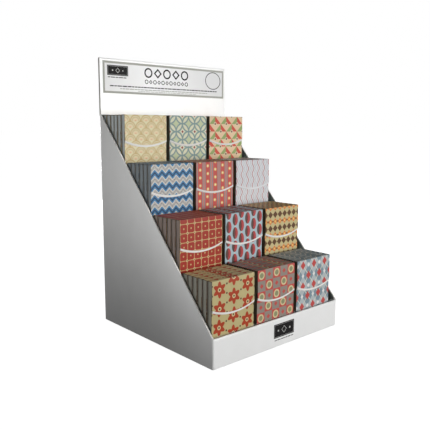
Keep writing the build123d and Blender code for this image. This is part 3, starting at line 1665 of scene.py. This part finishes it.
@dataclass
class Tray:
    """The folded tray: its board, and the print on its header and lip."""

    sizes: TraySizes
    header_frame: Box = ((-125.3, 365.3), (127.6, 415.0))
    frame_line: float = 3.4
    header_plate: Box = ((-117.5, 393.2), (-79.0, 408.8))
    header_rules: tuple[Rule, ...] = (
        Rule((-116.5, 389.6), 34.0, 1.3, Tone.DARK),
        Rule((-113.0, 376.2), 224.0, 1.65, Tone.DARK),
        Rule((-94.5, 372.4), 183.0, 1.3, Tone.RULE),
        Rule((-60.0, 369.9), 122.0, 0.9, Tone.RULE),
    )
    large_row: ShapeRow = ShapeRow(
        centre=(-1.5, 401.0),
        pitch=19.0,
        radius=8.0,
        each_side=2,
        ring_in_middle=True,
        ring_line=2.4,
        ring_points=48,
        diamond_line=3.2,
    )
    small_row: ShapeRow = ShapeRow(
        centre=(-1.5, 386.5),
        pitch=8.36,
        radius=3.5,
        each_side=5,
        ring_in_middle=False,
        ring_line=1.2,
        ring_points=32,
        diamond_line=1.6,
    )
    ring_centre: Point = (102.0, 395.8)
    ring_radius: float = 15.3
    ring_stretch: float = 1.19
    ring_line: float = 1.2
    ring_points: int = 72
    lip_plate: Box = ((-15.0, 13.3), (28.0, 33.7))
    lip_rule: Rule = Rule((-13.5, 9.5), 40.0, 1.1, Tone.DARK)

    def dress(self, tray: bpy.types.Object, insert: bpy.types.Object) -> None:
        """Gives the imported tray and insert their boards.

        Args:
            tray: The tray's object.
            insert: The insert's object.
        """
        for made, material in (
            (tray, WhiteBoard(self.sizes).make("white_board")),
            (insert, DarkBoard().make("dark_board")),
        ):
            made.data.materials.clear()
            made.data.materials.append(material)
            log.info("%s: finish %s", made.name, material.name)

    def lay_ink(self) -> None:
        """Prints the header and the lip."""
        inks = [
            PrintersInk((26, 24, 25), (44, 42, 43)).make("dark_ink"),
            PrintersInk((158, 159, 151), (176, 176, 168)).make("rule_ink"),
            PrintersInk((206, 206, 202), (180, 180, 176)).make("pale_ink"),
        ]
        tint = PaleTint().make("pale_tint")
        header = self.header_sheet().make("header_print", [*inks, tint])
        lip = self.lip_sheet().make("lip_print", inks)
        for made in (header, lip):
            log.info("%s: %d faces", made.name, len(made.data.polygons))

    def header_sheet(self) -> InkSheet:
        """Draws the header: a tinted panel in a frame, a plate, rules, open shapes and a ring.

        Returns:
            The shapes.
        """
        sheet = InkSheet(self.sizes.header_face)
        sheet.wash(sheet.shrink(self.header_frame, self.frame_line / 2), Tone.TINT)
        sheet.frame(self.header_frame, self.frame_line, Tone.RULE)
        sheet.ornament(self.header_plate)
        dice = random.Random("header rules")
        for rule in self.header_rules:
            sheet.dashes(rule, dice)
        sheet.row(self.large_row)
        sheet.row(self.small_row)
        sheet.ring(
            self.ring_centre,
            self.ring_radius,
            self.ring_line,
            self.ring_points,
            Tone.DARK,
            stretch=self.ring_stretch,
        )
        return sheet

    def lip_sheet(self) -> InkSheet:
        """Draws the lip's plate, with a short fine rule below it.

        Returns:
            The shapes.
        """
        sheet = InkSheet(self.sizes.lip_face)
        sheet.ornament(self.lip_plate)
        sheet.dashes(self.lip_rule, random.Random("lip rule"))
        return sheet


@dataclass
class Stock:
    """All the stacks of notepads, tier by tier from the front."""

    per_stack: int = 6
    card_inside: PlainCard = PlainCard((178, 174, 166), (150, 146, 138))

    def prints(self) -> dict[tuple[int, str], CardPrint]:
        """Lists the design of each stack.

        Returns:
            The designs by tier and column.
        """
        return {
            (1, "left"): CardPrint(
                Motif.DAISIES,
                ground=(194, 180, 130),
                inks=((174, 66, 38), (216, 200, 150), (88, 66, 48)),
                # A paper tone set for this stack, as painted light and shade on its page edges.
                paper=(183, 181, 167),
            ),
            (1, "centre"): CardPrint(
                Motif.CHECKS,
                ground=(196, 84, 78),
                inks=((150, 140, 130), (218, 202, 156), (146, 148, 112), (196, 84, 78)),
            ),
            (1, "right"): CardPrint(
                Motif.ARGYLE,
                ground=(182, 190, 192),
                inks=((130, 150, 160), (226, 218, 200), (194, 80, 76), (230, 228, 224)),
            ),
            (2, "left"): CardPrint(
                Motif.WINDOWPANE,
                ground=(166, 54, 42),
                inks=((206, 184, 122), (220, 202, 146), (120, 60, 44)),
                # A paper tone set for this stack, as painted light and shade on its page edges.
                paper=(180, 162, 153),
            ),
            (2, "centre"): CardPrint(
                Motif.OVALS,
                ground=(176, 196, 204),
                inks=((188, 76, 76), (92, 78, 72), (210, 216, 214), (140, 58, 58)),
            ),
            (2, "right"): CardPrint(
                Motif.BUNTING,
                ground=(206, 190, 140),
                inks=((104, 74, 52), (224, 124, 66), (238, 208, 120), (126, 94, 62)),
            ),
            (3, "left"): CardPrint(
                Motif.CHEVRONS,
                ground=(230, 225, 212),
                inks=((72, 134, 180), (50, 62, 90), (92, 112, 128)),
                # A paper tone set for this stack, as painted light and shade on its page edges.
                paper=(160, 171, 178),
            ),
            (3, "centre"): CardPrint(
                Motif.STRIPES,
                ground=(208, 92, 84),
                inks=((163, 148, 144), (224, 122, 112), (244, 206, 128), (252, 240, 204)),
            ),
            (3, "right"): CardPrint(
                Motif.WAVES,
                ground=(226, 227, 230),
                inks=((172, 176, 184), (188, 120, 120)),
                trim=(231, 232, 235),
            ),
            (4, "left"): CardPrint(
                Motif.SCALES,
                ground=(231, 223, 185),
                inks=((206, 174, 116), (242, 210, 172), (208, 158, 108)),
                # A paper tone set for this stack, as painted light and shade on its page edges.
                paper=(222, 230, 231),
            ),
            (4, "centre"): CardPrint(
                Motif.LINKED_RINGS,
                ground=(206, 215, 175),
                inks=((142, 166, 164), (230, 228, 198), (238, 232, 214), (150, 76, 60)),
            ),
            (4, "right"): CardPrint(
                Motif.PINWHEELS,
                ground=(240, 210, 172),
                inks=((220, 92, 76), (158, 178, 114), (240, 222, 192), (118, 74, 54)),
            ),
        }

    def build(self) -> None:
        """Makes every stack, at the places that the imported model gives."""
        inside = self.card_inside.make("card_inside")
        for (tier, column), design in self.prints().items():
            low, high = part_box(f"covers_tier_{tier}_{column}")
            span = (high - low) / MM
            depth = (span.y + Pad.gap) / self.per_stack - Pad.gap
            pad = Pad(span.x, span.z, depth)
            NotepadStack(tier, column, pad, tuple(low / MM), self.per_stack).build(design, inside)


@dataclass(frozen=True)
class Lamp:
    """A soft rectangle of light, on all pieces or only on those whose names start as listed."""

    name: str
    place: Place
    aim: Place
    size: Point
    watts: float
    only_on: tuple[str, ...] = ()
    spread_degrees: float = 180.0

    def light(self) -> None:
        """Hangs the lamp."""
        data = bpy.data.lights.new(self.name, "AREA")
        data.shape = "RECTANGLE"
        data.size, data.size_y = self.size
        data.energy = self.watts
        data.spread = math.radians(self.spread_degrees)
        made = bpy.data.objects.new(self.name, data)
        made.location = self.place
        direction = Vector(self.aim) - Vector(self.place)
        made.rotation_euler = direction.to_track_quat("-Z", "Y").to_euler()
        made.visible_camera = False
        bpy.context.scene.collection.objects.link(made)
        if self.only_on:
            lit = bpy.data.collections.new(self.name)
            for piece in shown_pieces():
                if piece.name.startswith(self.only_on):
                    lit.objects.link(piece)
            made.light_linking.receiver_collection = lit
        log.info("lamp %s", self.name)


@dataclass
class Studio:
    """The pale floor, the soft light and the camera. Sizes are metres."""

    floor_radius: float = 40.0
    floor_drop: float = 0.0003
    floor_points: int = 96
    floor_white: Colour = (255, 255, 255)
    floor_shade: Colour = (253, 253, 253)
    floor_body: Colour = (120, 120, 120)
    sky_white: Colour = (255, 255, 255)
    sky_dim: float = 0.03
    sky_glow: float = 0.08
    camera_place: Place = (-0.5852, -0.6513, 0.3081)
    camera_yaw: float = 41.554
    camera_pitch: float = -7.627
    camera_shift: float = -0.0233
    camera_clip: float = 0.01
    lens_mm: float = 46.998
    sensor_mm: float = 36.0

    def build(self) -> None:
        """Makes the stage, once the pieces are there."""
        self.place_camera()
        self.lay_floor()
        self.fill_sky()
        for lamp in self.lamps():
            lamp.light()
        bpy.context.scene.view_settings.view_transform = "Standard"

    def lamps(self) -> list[Lamp]:
        """Lists the lamps: the key, a few that even out the white board and the pages, and fills.

        Returns:
            The lamps.
        """
        kinds = ("leaf_blocks", "printed_covers")
        pages = tuple(f"{kind}_tier_{tier}_left" for kind in kinds for tier in range(1, 5))
        return [
            Lamp(
                "front_key",
                place=(0.55, -1.6, 0.36),
                aim=(0.0, 0.0, 0.2),
                size=(1.0, 0.8),
                watts=25.0,
            ),
            Lamp(
                "header_lamp",
                place=(0.0, -0.9, 0.75),
                aim=(0.0, 0.13, 0.40),
                size=(0.4, 0.2),
                watts=0.205,
                only_on=("outer_tray", "header_print"),
                spread_degrees=36.0,
            ),
            Lamp(
                "left_panel",
                place=(-0.307, -0.205, 0.333),
                aim=(0.606, -0.613, 0.333),
                size=(0.293, 0.426),
                watts=0.885,
                only_on=("outer_tray",),
            ),
            Lamp(
                "left_strip",
                place=(-0.6, 0.298, 0.269),
                aim=(0.091, 1.021, 0.269),
                size=(0.987, 0.233),
                watts=0.8,
                only_on=("outer_tray",),
            ),
            Lamp(
                "page_lamp",
                place=(-0.6, -0.12, 0.34),
                aim=(-0.125, 0.0, 0.2),
                size=(0.4, 0.1),
                watts=1.05,
                only_on=pages,
            ),
            Lamp(
                "right_fill",
                place=(1.3, 0.25, 0.12),
                aim=(0.13, 0.0, 0.2),
                size=(0.9, 0.2),
                watts=9.0,
            ),
            Lamp(
                "back_fill",
                place=(0.6, 1.6, 0.25),
                aim=(0.0, 0.135, 0.2),
                size=(0.9, 0.3),
                watts=15.0,
            ),
        ]

    def lay_floor(self) -> None:
        """Lays a wide pale disc, which shows its own light and throws none on the box."""
        surface = Surface("pale_floor")
        grain = surface.noise(surface.place(), grain=240.0)
        surface.finish(
            Base_Color=ink(self.floor_body),
            Roughness=0.9,
            Emission_Color=surface.paint(ink(self.floor_white), ink(self.floor_shade), grain),
            Emission_Strength=1.0,
        )
        turns = [FULL_TURN * number / self.floor_points for number in range(self.floor_points)]
        rim = [Vector((math.cos(turn), math.sin(turn), 0.0)) * self.floor_radius for turn in turns]
        mesh = bpy.data.meshes.new("floor")
        mesh.from_pydata(rim, [], [tuple(range(self.floor_points))])
        mesh.materials.append(surface.material)
        floor = bpy.data.objects.new("floor", mesh)
        floor.location.z = -self.floor_drop
        floor.visible_diffuse = False
        floor.visible_glossy = False
        bpy.context.scene.collection.objects.link(floor)
        floor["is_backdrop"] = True

    def fill_sky(self) -> None:
        """Fills the surroundings: white where they are seen, and a dim soft light on the box."""
        world = bpy.data.worlds.new("studio")
        world.use_nodes = True
        bpy.context.scene.world = world
        graph = Graph(world.node_tree)
        direction = graph.node("ShaderNodeTexCoord", {}, {}).outputs["Generated"]
        _, _, up = graph.parts(direction)
        seen = Value(graph, graph.node("ShaderNodeLightPath", {}, {}).outputs["Is Camera Ray"])
        low = abs(up).under(0.25, soft=0.7) * up.over(0.0, soft=0.3)
        glow = low * self.sky_glow + self.sky_dim
        background = world.node_tree.nodes["Background"]
        graph.feed(background.inputs["Strength"], seen + (1 - seen) * glow)
        graph.feed(background.inputs["Color"], ink(self.sky_white))

    def place_camera(self) -> None:
        """Sets the camera where the photograph was taken from."""
        data = bpy.data.cameras.new("camera")
        data.lens = self.lens_mm
        data.sensor_width = self.sensor_mm
        data.shift_y = self.camera_shift
        data.clip_start = self.camera_clip
        camera = bpy.data.objects.new("camera", data)
        camera.location = self.camera_place
        tilt = math.radians(90 + self.camera_pitch)
        camera.rotation_euler = (tilt, 0.0, -math.radians(self.camera_yaw))
        bpy.context.scene.collection.objects.link(camera)
        bpy.context.scene.camera = camera


def main() -> None:
    """Builds the pieces in order."""
    logging.basicConfig(level=logging.INFO, format="%(name)s %(message)s")
    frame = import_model()
    low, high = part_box("outer_tray")
    span = (high - low) / MM
    tray = Tray(TraySizes(span.x, span.y))
    tray.dress(frame["nodes"]["outer_tray"], frame["nodes"]["stepped_insert"])
    tray.lay_ink()
    Stock().build()
    Studio().build()


if __name__ == "__main__":
    main()
